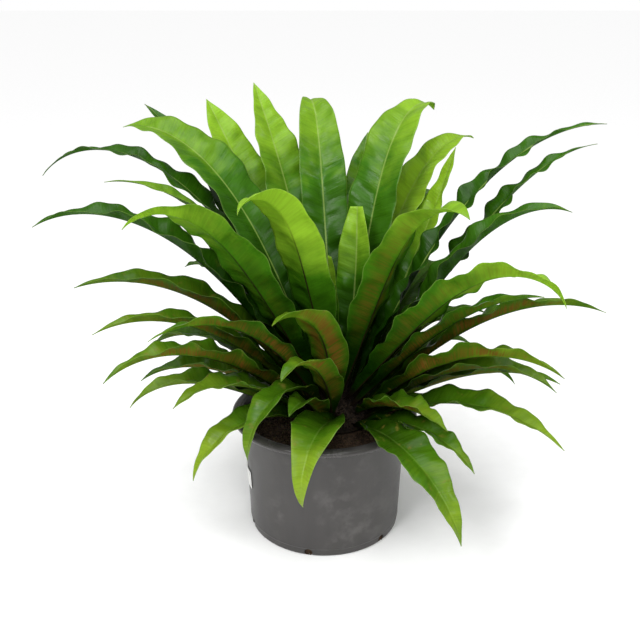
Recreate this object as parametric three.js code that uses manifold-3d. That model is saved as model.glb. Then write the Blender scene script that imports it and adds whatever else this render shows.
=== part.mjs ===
// Potted bird's nest fern: wavy strap fronds in five rings around a scaly crown, in a grey nursery pot.
// Millimetres, +Z up. The origin is the centre of the pot's underside.
// Azimuths are degrees from +X towards +Y. The photograph looks along +Y.
import * as THREE from "three";
import { mergeVertices } from "three/addons/utils/BufferGeometryUtils.js";
import Module from "manifold-3d";

const wasm = await Module();
wasm.setup();

// Pot
const POT_HEIGHT = 180;
const LIP_RADIUS = 135;
const MOUTH_RADIUS = 121;
const WALL_TOP_RADIUS = 117.5;
const FOOT_RADIUS = 111;
const WALL = 2.4;
const FLOOR = 4;
const POT_SIDES = 48;
const NOTCH_WIDTH = 12;
const NOTCH_HEIGHT = 11;
const NOTCH_FIRST_AZIMUTH = 18;
const NOTCHES = 6;

// Fill and crown
const GAP = 0.3;
const FILL_HEIGHT = 165;
const CROWN_X = 18;
const CROWN_Y = -12;
const CROWN_RADIUS = 47;
const CROWN_TOP = 208;

// Label
const LABEL_AZIMUTH = 194;
const LABEL_WIDTH = 34;
const LABEL_LOW = 70;
const LABEL_HIGH = 97;
const LABEL_THICKNESS = 0.6;

// Fronds
const BLADE_HALF_THICKNESS = 0.38;
const RIB_DEPTH = 1.9;
const SPINE_STEPS = 88;
const LONG_FROND = 330;
const LONG_SEGMENTS = 20;
const SHORT_SEGMENTS = 16;
const BASE_SHARE = 0.14;
const BASE_FOLD = 50;
const FLATTENED_BY = 0.4;
const TWISTED_BY = 0.6;
const TIP_HALF_WIDTH = 1;
const BASE_PITCH = 10;
const SPACING_ROUNDS = 60;

// Rings of frond bases around the crown's axis, from the heart out.
const RINGS = [
  { name: "heart_frond", radius: 7, height: 206 },
  { name: "inner_frond", radius: 16, height: 202 },
  { name: "middle_frond", radius: 25, height: 195 },
  { name: "outer_frond", radius: 33, height: 186 },
  { name: "low_frond", radius: 41, height: 175 },
];

// Each row: azimuth of the tip, its reach from the crown's axis and its height, how far the frond arches
// over in degrees, how late the arch comes, blade width, how bluntly it tapers, twist and channel fold in
// degrees, number of edge waves and their height, sideways sway, share of the blade that is left.
const HEART = [
  [99.5, 258, 585, 110, 8, 72, 3.5, 0, 20, 5, 4, 0, 1],
  [220, 162, 495, 150, 8, 72, 4.5, 24, 14, 5, 3, 0, 1],
  [312, 218, 504, 95, 6, 74, 4.5, 0, 22, 5, 3, 0, 1],
  [60, 54, 492, 5, 1, 54, 3, 0, 22, 4, 2, -9, 0.93],
  [190, 15, 432, 5, 1, 26, 3, 0, 30, 4, 1, 0, 0.92],
];
const INNER = [
  [54, 250, 583, 115, 5, 76, 4, 0, 14, 5, 4, 0, 1],
  [131.5, 298, 596, 12, 2, 81, 3.5, -8, 16, 5, 4, 0, 1],
  [119, 258, 620, 15, 2, 79, 3, 0, 18, 5, 4, 0, 1],
  [212, 297, 491, 102, 5.5, 70, 3.5, 30, 14, 5, 4, 0, 1],
  [325, 318, 404, 118, 5, 72, 4.5, -24, 16, 6, 4, -10, 1],
  [12.5, 379, 578, 66, 2.9, 42, 2, 0, 26, 6, 6, 0, 1],
  [152, 357, 562, 80, 3, 84, 4, -12, 18, 5, 4, 0, 1],
];
const MIDDLE = [
  [42, 278, 543, 88, 6, 69, 4, 0, 14, 5, 4, 17, 1],
  [30, 192, 544, -12, 2, 50, 3, 0, 18, 5, 4, 4, 1],
  [9, 356, 555, 50, 5, 44, 2, 0, 20, 6, 6, 0, 1],
  [351, 300, 485, 78, 4.8, 62, 2.4, 0, 30, 5, 5, 0, 1],
  [340, 275, 387, 45, 3, 62, 2, -10, 28, 5, 4, 0, 1],
  [142, 372, 588, 30, 2, 56, 3, 0, 18, 5, 4, 0, 1],
  [179, 309, 513, 75, 3, 48, 2, 0, 18, 5, 4, 1, 1],
  [163.5, 447, 498, 112, 2.8, 50, 2, 0, 18, 6, 5, 0, 1],
  [186, 397, 464, 87, 3, 68, 2, 0, 28, 6, 6, 0, 1],
  [214, 280, 352, 80, 2.2, 52, 2, 24, 22, 5, 4, 2, 1],
  [77, 215, 548, 20, 3, 52, 4, 0, 14, 5, 4, 0, 1],
];
const OUTER = [
  [189, 350, 386, 70, 2, 64, 1.9, 0, 36, 5, 4, -3, 1],
  [194, 331, 330, 72, 2.2, 54, 1.8, 8, 36, 5, 4, -8, 1],
  [206, 328, 290, 80, 2.6, 64, 1.8, 10, 34, 5, 5, 0, 1],
  [236, 150, 360, 110, 3.6, 58, 3, 20, 24, 4, 3, 20, 1],
  [230, 184, 180, 165, 1.3, 50, 1.7, 10, 24, 4, 3, 4, 1],
  [244, 166, 296, 115, 4.2, 50, 3, 10, 24, 4, 3, 14, 1],
  [256, 190, 138, 150, 2.6, 75, 0.78, 0, 26, 4, 3, 0, 1],
  [318, 190, 214, 72, 1.4, 58, 1.9, -10, 30, 5, 4, -8, 1],
  [336, 312, 289, 74, 2.2, 60, 1.9, -24, 32, 5, 5, 0, 1],
  [352, 358, 350, 65, 2.4, 56, 2, -22, 28, 5, 5, 0, 1],
  [20, 240, 300, 80, 2.2, 48, 1.9, 0, 30, 5, 4, 0, 1],
  [60, 330, 440, 80, 2.6, 66, 3, 0, 22, 5, 5, 0, 1],
  [92, 350, 420, 85, 2.6, 64, 3, 6, 22, 5, 5, 0, 1],
  [122, 340, 450, 80, 3.4, 66, 3, -6, 22, 5, 5, 0, 1],
  [155, 220, 420, 20, 2, 56, 3, 0, 22, 5, 4, 0, 1],
];
const LOW = [
  [183, 278, 234, 66, 2.7, 50, 1.8, 0, 34, 5, 4, -12, 1],
  [196, 291, 225, 80, 3.2, 52, 1.8, 0, 34, 5, 4, 0, 1],
  [210, 247, 245, 80, 2.2, 56, 1.8, 0, 24, 5, 4, -2, 1],
  [213, 230, 140, 105, 1.5, 52, 1.6, 0, 24, 4, 3, 0, 1],
  [243, 142, 236, 90, 2.5, 50, 1.8, 0, 24, 4, 3, 0, 1],
  [304.5, 266, 104, 106, 1.5, 68, 1.3, 0, 20, 5, 4, -14, 1],
  [322, 225, 158, 74, 1.4, 48, 1.6, 0, 24, 5, 4, 0, 1],
  [337, 321, 185, 70, 1.4, 64, 1.6, 0, 22, 5, 4, 4, 1],
  [345, 302, 246, 82, 2, 54, 1.9, 0, 34, 5, 4, 0, 1],
  [353, 310, 240, 56, 2, 50, 1.9, 0, 34, 5, 4, 0, 1],
  [12, 275, 196, 85, 2, 48, 1.9, 0, 34, 5, 4, 0, 1],
  [28, 240, 235, 85, 2.2, 46, 1.9, 0, 30, 5, 4, 0, 1],
  [50, 300, 330, 80, 2.2, 62, 2.5, 0, 26, 5, 5, 0, 1],
  [69, 300, 230, 90, 2, 66, 2.5, 0, 26, 5, 4, 0, 1],
  [96, 320, 300, 85, 2, 64, 2.5, 0, 26, 5, 5, 0, 1],
  [118, 300, 200, 95, 1.8, 60, 2.5, 0, 26, 5, 4, 0, 1],
  [138, 330, 330, 80, 2.2, 62, 2.5, 0, 26, 5, 5, 0, 1],
  [160, 310, 230, 90, 2, 58, 2.5, 0, 26, 5, 4, 0, 1],
];

const POT_COLOUR = 0x5c5854;
const FILL_COLOUR = 0x2a1d16;
const CROWN_COLOUR = 0x3a2718;
const LABEL_COLOUR = 0xf2f2ee;
const FROND_COLOURS = [0x7fae2e, 0x74a62d, 0x5c8f2a, 0x4d7d24, 0x4f8427];

function radians(degrees) {
  return (degrees * Math.PI) / 180;
}

// A closed solid from points and triangles.
function solid(points, triangles) {
  const geometry = new THREE.BufferGeometry();
  geometry.setAttribute("position", new THREE.Float32BufferAttribute(points.flat(), 3));
  geometry.setIndex(triangles.flat());
  const merged = mergeVertices(geometry, 1e-4);
  const mesh = new wasm.Mesh({
    numProp: 3,
    vertProperties: merged.attributes.position.array,
    triVerts: new Uint32Array(merged.index.array),
  });
  return new wasm.Manifold(mesh);
}

// A named mesh for the group.
function piece(name, body, colour, roughness) {
  const mesh = body.getMesh();
  const geometry = new THREE.BufferGeometry();
  geometry.setAttribute("position", new THREE.BufferAttribute(new Float32Array(mesh.vertProperties), 3));
  geometry.setIndex(new THREE.BufferAttribute(new Uint32Array(mesh.triVerts), 1));
  geometry.computeVertexNormals();
  const made = new THREE.Mesh(geometry, new THREE.MeshStandardMaterial({ color: colour, roughness }));
  made.name = name;
  return made;
}

// Two loops of points joined by pairs of triangles. Seen from the second loop's side, both go clockwise.
// From the index mirroredFrom on, each pair is split along its other diagonal.
function stripBetween(first, second, count, mirroredFrom = count) {
  const faces = [];
  for (let i = 0; i < count; i++) {
    const j = (i + 1) % count;
    if (i < mirroredFrom) {
      faces.push([first + i, first + j, second + j], [first + i, second + j, second + i]);
    } else {
      faces.push([first + i, first + j, second + i], [first + j, second + j, second + i]);
    }
  }
  return faces;
}

// A solid turned about the Z axis from a profile that starts and ends on the axis.
// The profile goes round so that the body lies on its left; lift(x, y) raises points of the profile.
function turned(profile, sides, x = 0, y = 0, lift = () => 0) {
  const points = [[x, y, profile[0][1]]];
  const faces = [];
  const loops = profile.slice(1, -1);
  loops.forEach(([r, z], k) => {
    for (let i = 0; i < sides; i++) {
      const a = (2 * Math.PI * i) / sides;
      const px = x + r * Math.cos(a);
      const py = y + r * Math.sin(a);
      points.push([px, py, z + lift(px, py, k)]);
    }
  });
  const last = points.length;
  points.push([x, y, profile[profile.length - 1][1]]);
  for (let i = 0; i < sides; i++) {
    const j = (i + 1) % sides;
    faces.push([0, 1 + j, 1 + i]);
    faces.push([last, last - sides + i, last - sides + j]);
  }
  for (let k = 0; k + 1 < loops.length; k++) {
    faces.push(...stripBetween(1 + k * sides, 1 + (k + 1) * sides, sides));
  }
  return solid(points, faces);
}

function wallRadius(z) {
  return FOOT_RADIUS + ((WALL_TOP_RADIUS - FOOT_RADIUS) * z) / (POT_HEIGHT - 11);
}

function arch(azimuth) {
  const half = NOTCH_WIDTH / 2;
  const outline = [[-half, -1], [half, -1], [half, NOTCH_HEIGHT - half]];
  for (let i = 1; i < 6; i++) {
    const a = (Math.PI * i) / 6;
    outline.push([half * Math.cos(a), NOTCH_HEIGHT - half + half * Math.sin(a)]);
  }
  outline.push([-half, NOTCH_HEIGHT - half]);
  const c = Math.cos(radians(azimuth));
  const s = Math.sin(radians(azimuth));
  const place = (r, [across, z]) => [r * c - across * s, r * s + across * c, z];
  const n = outline.length;
  const points = [...outline.map((p) => place(98, p)), ...outline.map((p) => place(120, p))];
  const faces = stripBetween(0, n, n);
  for (let i = 1; i + 1 < n; i++) {
    faces.push([0, i + 1, i], [n, n + i, n + i + 1]);
  }
  return solid(points, faces);
}

function pot() {
  const z0 = POT_HEIGHT - 11;
  const r0 = WALL_TOP_RADIUS;
  let body = turned(
    [
      [0, 0],
      [FOOT_RADIUS - 3, 0],
      [FOOT_RADIUS - 0.6, 2],
      [FOOT_RADIUS, 11],
      [wallRadius(12) + 0.5, 12.5],
      [r0, z0],
      [LIP_RADIUS - 4, z0 + 1.2],
      [LIP_RADIUS - 0.8, z0 + 3.4],
      [LIP_RADIUS, z0 + 6],
      [LIP_RADIUS - 1, z0 + 9],
      [LIP_RADIUS - 4.5, POT_HEIGHT],
      [MOUTH_RADIUS + 2, POT_HEIGHT],
      [MOUTH_RADIUS, POT_HEIGHT - 1.5],
      [r0 - WALL + 0.6, z0 - 1],
      [FOOT_RADIUS - WALL - 0.4, FLOOR + 6],
      [FOOT_RADIUS - WALL - 3, FLOOR],
      [0, FLOOR],
    ],
    POT_SIDES,
  );
  for (let i = 0; i < NOTCHES; i++) {
    body = body.subtract(arch(NOTCH_FIRST_AZIMUTH + (360 / NOTCHES) * i));
  }
  return body;
}

// Low mounds in the fill, level under the crown.
function mounds(x, y) {
  const away = Math.hypot(x - CROWN_X, y - CROWN_Y) - CROWN_RADIUS - 8;
  if (away < 0) {
    return 0;
  }
  const share = Math.min(1, away / 12);
  return share * (2.2 * Math.sin(0.11 * x + 1) * Math.cos(0.13 * y) + 1.2 * Math.sin(0.31 * x - 0.23 * y));
}

function fill() {
  const inner = FOOT_RADIUS - WALL - GAP;
  const top = wallRadius(FILL_HEIGHT) - WALL - GAP - 0.8;
  const rings = [top - 6, 90, 72, 50, 25];
  return turned(
    [
      [0, FLOOR + GAP],
      [inner - 3.4, FLOOR + GAP],
      [inner - 0.8, FLOOR + 6],
      [top, FILL_HEIGHT - 4],
      ...rings.map((r) => [r, FILL_HEIGHT]),
      [0, FILL_HEIGHT],
    ],
    32,
    0,
    0,
    (x, y, k) => (k > 2 ? mounds(x, y) : 0),
  );
}

function label() {
  const columns = 8;
  const half = LABEL_WIDTH / 2 / wallRadius(LABEL_LOW);
  const points = [];
  for (let i = 0; i <= columns; i++) {
    const a = radians(LABEL_AZIMUTH) - half + (2 * half * i) / columns;
    for (const [z, out] of [[LABEL_LOW, 0], [LABEL_LOW, 1], [LABEL_HIGH, 1], [LABEL_HIGH, 0]]) {
      const r = wallRadius(z) + 0.9 + out * LABEL_THICKNESS;
      points.push([r * Math.cos(a), r * Math.sin(a), z]);
    }
  }
  const faces = [];
  for (let i = 0; i < columns; i++) {
    faces.push(...stripBetween(4 * i + 4, 4 * i, 4));
  }
  const end = 4 * columns;
  faces.push([0, 1, 2], [0, 2, 3], [end, end + 2, end + 1], [end, end + 3, end + 2]);
  return solid(points, faces);
}

// Each base stands at its tip's azimuth, moved along the ring where neighbours would be too close.
function baseAzimuths(rows, radius) {
  const order = rows.map((row, i) => i).sort((a, b) => rows[a][0] - rows[b][0]);
  const bases = rows.map((row) => row[0]);
  const pitch = Math.min(360 / rows.length, (BASE_PITCH / radius) * (180 / Math.PI));
  for (let round = 0; round < SPACING_ROUNDS; round++) {
    order.forEach((i, k) => {
      const next = order[(k + 1) % order.length];
      const turn = k + 1 === order.length ? 360 : 0;
      const short = pitch - (bases[next] + turn - bases[i]);
      if (short > 0) {
        bases[i] -= short / 2;
        bases[next] += short / 2;
      }
    });
  }
  return bases;
}

// The midrib's line: points and directions from base to tip, and its length.
function spine(row, ring, baseAzimuth) {
  const [azimuth, reach, height, archOver, late] = row;
  const sway = row[11];
  const a = radians(azimuth);
  const b = radians(baseAzimuth);
  const base = [
    CROWN_X + ring.radius * Math.cos(b),
    CROWN_Y + ring.radius * Math.sin(b),
    ring.height,
  ];
  const tip = [CROWN_X + reach * Math.cos(a), CROWN_Y + reach * Math.sin(a), height];
  const out = Math.hypot(tip[0] - base[0], tip[1] - base[1]);
  const heading = Math.atan2(tip[1] - base[1], tip[0] - base[0]);
  const droop = (s) => -radians(archOver) * s ** late;
  const path = [[0, 0]];
  for (let i = 0; i < SPINE_STEPS; i++) {
    const angle = droop((i + 0.5) / SPINE_STEPS);
    const [r, z] = path[i];
    path.push([r + Math.cos(angle) / SPINE_STEPS, z + Math.sin(angle) / SPINE_STEPS]);
  }
  const [endR, endZ] = path[SPINE_STEPS];
  const tilt = Math.atan2(tip[2] - base[2], out) - Math.atan2(endZ, endR);
  const length = Math.hypot(out, tip[2] - base[2]) / Math.hypot(endR, endZ);
  const at = (s) => {
    const k = Math.min(SPINE_STEPS - 1, Math.floor(s * SPINE_STEPS));
    const part = s * SPINE_STEPS - k;
    const r = path[k][0] + (path[k + 1][0] - path[k][0]) * part;
    const z = path[k][1] + (path[k + 1][1] - path[k][1]) * part;
    const run = length * (r * Math.cos(tilt) - z * Math.sin(tilt));
    const rise = length * (r * Math.sin(tilt) + z * Math.cos(tilt));
    const aside = sway * Math.sin(Math.PI * s);
    return new THREE.Vector3(
      base[0] + run * Math.cos(heading) - aside * Math.sin(heading),
      base[1] + run * Math.sin(heading) + aside * Math.cos(heading),
      base[2] + rise,
    );
  };
  const along = (s) => {
    const angle = droop(s) + tilt;
    const aside = (sway * Math.PI * Math.cos(Math.PI * s)) / length;
    return new THREE.Vector3(
      Math.cos(angle) * Math.cos(heading) - aside * Math.sin(heading),
      Math.cos(angle) * Math.sin(heading) + aside * Math.cos(heading),
      Math.sin(angle),
    ).normalize();
  };
  return { at, along, heading, length };
}

function smooth(x) {
  const t = Math.min(1, Math.max(0, x));
  return t * t * (3 - 2 * t);
}

function halfWidth(width, taper, s) {
  const rise = Math.sin((Math.PI / 2) * Math.min(1, s / 0.5)) ** 1.5;
  const fall = s > 0.5 ? 1 - ((s - 0.5) / 0.5) ** taper : 1;
  return Math.max(TIP_HALF_WIDTH, 0.5 * width * (BASE_SHARE + (1 - BASE_SHARE) * rise) * fall);
}

// Six points round the blade at s: upper face left to right, then under face right to left.
function section(line, row, s, phase, extra) {
  const [, , , , , width, taper, twist, fold, waves, waveHeight] = row;
  const forward = line.along(s);
  const level = new THREE.Vector3(-Math.sin(line.heading), Math.cos(line.heading), 0);
  const up = new THREE.Vector3().crossVectors(forward, level).normalize();
  const side = new THREE.Vector3().crossVectors(up, forward);
  const turn = radians(twist) * smooth(s / TWISTED_BY);
  const normal = up.clone().multiplyScalar(Math.cos(turn)).addScaledVector(side, -Math.sin(turn));
  const across = side.clone().multiplyScalar(Math.cos(turn)).addScaledVector(up, Math.sin(turn));
  const w = halfWidth(width, taper, s) + extra;
  const channel = radians(fold + (BASE_FOLD - fold) * (1 - smooth(s / FLATTENED_BY)));
  const centre = line.at(s);
  const half = BLADE_HALF_THICKNESS + extra;
  const points = [];
  const edges = [-1, 1].map((hand) => {
    const swell = (waveHeight * w) / (0.5 * width);
    const wave = swell * Math.sin(2 * Math.PI * (waves * s + phase + (hand > 0 ? 0.37 : 0)));
    const edge = centre
      .clone()
      .addScaledVector(across, hand * w * Math.cos(channel))
      .addScaledVector(normal, w * Math.sin(channel) + wave);
    const face = normal
      .clone()
      .multiplyScalar(Math.cos(channel))
      .addScaledVector(across, -hand * Math.sin(channel));
    return { edge, face };
  });
  points.push(edges[0].edge.clone().addScaledVector(edges[0].face, half));
  points.push(centre.clone().addScaledVector(normal, half / Math.cos(channel)));
  points.push(edges[1].edge.clone().addScaledVector(edges[1].face, half));
  points.push(edges[1].edge.clone().addScaledVector(edges[1].face, -half));
  points.push(centre.clone().addScaledVector(normal, -half / Math.cos(channel) - RIB_DEPTH * (1 - s)));
  points.push(edges[0].edge.clone().addScaledVector(edges[0].face, -half));
  return points.map((p) => p.toArray());
}

// The blade's skin through its sections, closed at both ends. The under face is split into the same
// triangles as the upper face, so the waves keep the blade's thickness.
function loft(sections) {
  const points = sections.flat();
  const faces = [];
  for (let k = 0; k + 1 < sections.length; k++) {
    faces.push(...stripBetween(6 * k + 6, 6 * k, 6, 3));
  }
  const end = 6 * (sections.length - 1);
  const cap = [[0, 1, 5], [1, 4, 5], [1, 2, 4], [2, 3, 4]];
  for (const [a, b, c] of cap) {
    faces.push([a, b, c], [end + a, end + c, end + b]);
  }
  return solid(points, faces);
}

function frond(row, ring, baseAzimuth, phase) {
  const line = spine(row, ring, baseAzimuth);
  const segments = line.length > LONG_FROND ? LONG_SEGMENTS : SHORT_SEGMENTS;
  const kept = row[12];
  const stations = [];
  for (let i = 0; i <= segments; i++) {
    stations.push((kept * i) / segments);
  }
  const body = loft(stations.map((s) => section(line, row, s, phase, 0)));
  const down = line.along(0).multiplyScalar(-GAP);
  const rooted = [section(line, row, 0, phase, GAP), section(line, row, 0.05, phase, GAP)];
  rooted[0] = rooted[0].map(([x, y, z]) => [x + down.x, y + down.y, z + down.z]);
  return { body, socket: loft(rooted) };
}

function crown() {
  const rings = [
    [CROWN_RADIUS, FILL_HEIGHT + 3],
    [CROWN_RADIUS - 2, 174],
    [CROWN_RADIUS - 9, 184],
    [CROWN_RADIUS - 20, 196],
    [CROWN_RADIUS - 32, 204],
    [8, CROWN_TOP],
  ];
  const bumps = (x, y, k) => (k > 2 && k < 8 ? 1.2 * Math.sin(x * 0.9 + k) * Math.cos(y * 0.8 - k) : 0);
  return turned(
    [[0, FILL_HEIGHT + GAP], [CROWN_RADIUS - 3, FILL_HEIGHT + GAP], ...rings, [0, CROWN_TOP + 0.5]],
    24,
    CROWN_X,
    CROWN_Y,
    bumps,
  );
}

const root = new THREE.Group();
root.name = "potted_fern";
root.add(piece("nursery_pot", pot(), POT_COLOUR, 0.55));
root.add(piece("potting_mix", fill(), FILL_COLOUR, 0.95));
root.add(piece("pot_label", label(), LABEL_COLOUR, 0.7));

let heart = crown();
let count = 0;
[HEART, INNER, MIDDLE, OUTER, LOW].forEach((rows, k) => {
  const ring = RINGS[k];
  const bases = baseAzimuths(rows, ring.radius);
  rows.forEach((row, i) => {
    const phase = (count * 0.618) % 1;
    const made = frond(row, ring, bases[i], phase);
    heart = heart.subtract(made.socket);
    root.add(piece(ring.name + "_" + (i + 1), made.body, FROND_COLOURS[k], 0.5));
    count += 1;
  });
});
root.add(piece("crown", heart, CROWN_COLOUR, 0.9));

export default root;
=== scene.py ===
# Potted bird's nest fern: finely meshed fronds, pot, potting mix and crown, with materials and a studio.
import math
import random
from types import SimpleNamespace

import bpy
import numpy as np
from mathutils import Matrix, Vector, noise


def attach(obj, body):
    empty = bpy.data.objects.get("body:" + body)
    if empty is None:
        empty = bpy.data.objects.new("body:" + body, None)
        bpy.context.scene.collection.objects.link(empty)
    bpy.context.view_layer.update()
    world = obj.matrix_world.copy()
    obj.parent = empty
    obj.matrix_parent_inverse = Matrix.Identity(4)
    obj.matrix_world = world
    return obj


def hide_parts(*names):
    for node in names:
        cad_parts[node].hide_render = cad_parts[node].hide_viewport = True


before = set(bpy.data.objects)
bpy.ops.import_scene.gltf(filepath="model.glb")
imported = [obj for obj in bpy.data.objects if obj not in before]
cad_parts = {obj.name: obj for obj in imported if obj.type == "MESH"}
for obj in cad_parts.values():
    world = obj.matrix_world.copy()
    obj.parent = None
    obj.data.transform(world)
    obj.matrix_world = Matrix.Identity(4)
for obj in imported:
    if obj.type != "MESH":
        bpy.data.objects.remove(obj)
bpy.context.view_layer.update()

MM = 0.001

# Pot, in millimetres like all lengths here unless a comment says otherwise
POT_HEIGHT = 180
LIP_RADIUS = 135
LIP_HEIGHT = 11
MOUTH_RADIUS = 121
WALL_TOP_RADIUS = 117.5
FOOT_RADIUS = 111
WALL = 2.4
FLOOR = 4
NOTCH_WIDTH = 12
NOTCH_HEIGHT = 11
NOTCH_FIRST_AZIMUTH = 18
NOTCHES = 6
NOTCH_ARCH_STEPS = 12
NOTCH_FROM = FOOT_RADIUS - WALL - 2.2
NOTCH_TO = FOOT_RADIUS + 11
POT_SIDES = 180
SHARP_POT_EDGE = 35

# Fill and crown
GAP = 0.3
FILL_HEIGHT = 165
BED_SIDES = 128
BED_RINGS = 42
CRUMBS = 1500
CRUMB_SIZES = (1.2, 1.5, 2.0, 3.0)
NOTCH_CRUMBS = 140
NOTCH_CRUMB_SIZE = 1.6
LUMP_CORNERS = 8
FILL_SEED = 41
CROWN_X = 18
CROWN_Y = -12
CROWN_RADIUS = 47
CROWN_TOP = 208
CROWN_SIDES = 64
CROWN_RINGS = 51
CROWN_SCALES = 620
SCALE_TURN = 137.5
CROWN_SEED = 17
SHARP_SCALE_EDGE = 40

# Fronds
RIB_DEPTH = 1.9
RIB_WIDTH = 1.5
RIDGE_HEIGHT = 0.45
RIDGE_WIDTH = 0.9
HALF_THICKNESS = 0.3
MARGIN_THINNING = 0.1
SPINE_STEPS = 88
BASE_SHARE = 0.14
BASE_FOLD = 50
FLATTENED_BY = 0.4
TWISTED_BY = 0.6
TIP_HALF_WIDTH = 0.6
BASE_PITCH = 10
SPACING_ROUNDS = 60
STATION_PITCH = 3.6
COLUMNS = 22
CHANNEL_ROUNDING = 0.09
RIB_SOFTENING = 0.12
BULGE = 0.05
VEIN_SLANT = 0.35
PHASE_STEP = 0.618
SEED_STEP = 1.7

# Waves of the margins: how far the right one runs ahead of the left one, and for each margin the ripple's
# rate against the wave, its phase factor and its own shift. A wave dies away towards the midrib.
RIGHT_AHEAD = 0.37
RIPPLES = [(2.7, 1.9, 0.0), (2.4, 2.3, 0.2)]
WAVE_FALL = 1.6

# Swellings of the blade between its side veins: pitch along the blade, height, and a phase factor.
SWELLINGS = [(67, 1.5, 3.1), (41, 1.2, 7.3), (23, 0.6, 11.9), (12.5, 0.15, 5.7)]
SWELLING_SHIFT = 0.17
SWELLING_SPREAD = 1.05
FULL_SWELLING_WIDTH = 25

# Rings of frond bases around the crown's axis, from the heart out.
RINGS = [
    ("heart_frond", 7, 206, "young_frond"),
    ("inner_frond", 16, 202, "young_frond"),
    ("middle_frond", 25, 195, "mature_frond"),
    ("outer_frond", 33, 186, "old_frond"),
    ("low_frond", 41, 175, "old_frond"),
]

# Each row: azimuth of the tip, its reach from the crown's axis and its height, how far the frond arches
# over in degrees, how late the arch comes, blade width, how bluntly it tapers, twist and channel fold in
# degrees, number of edge waves and their height, sideways sway, share of the blade that is left.
HEART = [
    (99.5, 258, 585, 110, 8, 72, 3.5, 0, 20, 5, 4, 0, 1),
    (220, 162, 495, 150, 8, 72, 4.5, 24, 14, 5, 3, 0, 1),
    (312, 218, 504, 95, 6, 74, 4.5, 0, 22, 5, 3, 0, 1),
    (60, 54, 492, 5, 1, 54, 3, 0, 22, 4, 2, -9, 0.93),
    (190, 15, 432, 5, 1, 26, 3, 0, 30, 4, 1, 0, 0.92),
]
INNER = [
    (54, 250, 583, 115, 5, 76, 4, 0, 14, 5, 4, 0, 1),
    (131.5, 298, 596, 12, 2, 81, 3.5, -8, 16, 5, 4, 0, 1),
    (119, 258, 620, 15, 2, 79, 3, 0, 18, 5, 4, 0, 1),
    (212, 297, 491, 102, 5.5, 70, 3.5, 30, 14, 5, 4, 0, 1),
    (325, 318, 404, 118, 5, 72, 4.5, -24, 16, 6, 4, -10, 1),
    (12.5, 379, 578, 66, 2.9, 42, 2, 0, 26, 6, 6, 0, 1),
    (152, 357, 562, 80, 3, 84, 4, -12, 18, 5, 4, 0, 1),
]
MIDDLE = [
    (42, 278, 543, 88, 6, 69, 4, 0, 14, 5, 4, 17, 1),
    (30, 192, 544, -12, 2, 50, 3, 0, 18, 5, 4, 4, 1),
    (9, 356, 555, 50, 5, 44, 2, 0, 20, 6, 6, 0, 1),
    (351, 300, 485, 78, 4.8, 62, 2.4, 0, 30, 5, 5, 0, 1),
    (340, 275, 387, 45, 3, 62, 2, -10, 28, 5, 4, 0, 1),
    (142, 372, 588, 30, 2, 56, 3, 0, 18, 5, 4, 0, 1),
    (179, 309, 513, 75, 3, 48, 2, 0, 18, 5, 4, 1, 1),
    (163.5, 447, 498, 112, 2.8, 50, 2, 0, 18, 6, 5, 0, 1),
    (186, 397, 464, 87, 3, 68, 2, 0, 28, 6, 6, 0, 1),
    (214, 280, 352, 80, 2.2, 52, 2, 24, 22, 5, 4, 2, 1),
    (77, 215, 548, 20, 3, 52, 4, 0, 14, 5, 4, 0, 1),
]
OUTER = [
    (189, 350, 386, 70, 2, 64, 1.9, 0, 36, 5, 4, -3, 1),
    (194, 331, 330, 72, 2.2, 54, 1.8, 8, 36, 5, 4, -8, 1),
    (206, 328, 290, 80, 2.6, 64, 1.8, 10, 34, 5, 5, 0, 1),
    (236, 150, 360, 110, 3.6, 58, 3, 20, 24, 4, 3, 20, 1),
    (230, 184, 180, 165, 1.3, 50, 1.7, 10, 24, 4, 3, 4, 1),
    (244, 166, 296, 115, 4.2, 50, 3, 10, 24, 4, 3, 14, 1),
    (256, 190, 138, 150, 2.6, 75, 0.78, 0, 26, 4, 3, 0, 1),
    (318, 190, 214, 72, 1.4, 58, 1.9, -10, 30, 5, 4, -8, 1),
    (336, 312, 289, 74, 2.2, 60, 1.9, -24, 32, 5, 5, 0, 1),
    (352, 358, 350, 65, 2.4, 56, 2, -22, 28, 5, 5, 0, 1),
    (20, 240, 300, 80, 2.2, 48, 1.9, 0, 30, 5, 4, 0, 1),
    (60, 330, 440, 80, 2.6, 66, 3, 0, 22, 5, 5, 0, 1),
    (92, 350, 420, 85, 2.6, 64, 3, 6, 22, 5, 5, 0, 1),
    (122, 340, 450, 80, 3.4, 66, 3, -6, 22, 5, 5, 0, 1),
    (155, 220, 420, 20, 2, 56, 3, 0, 22, 5, 4, 0, 1),
]
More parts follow.
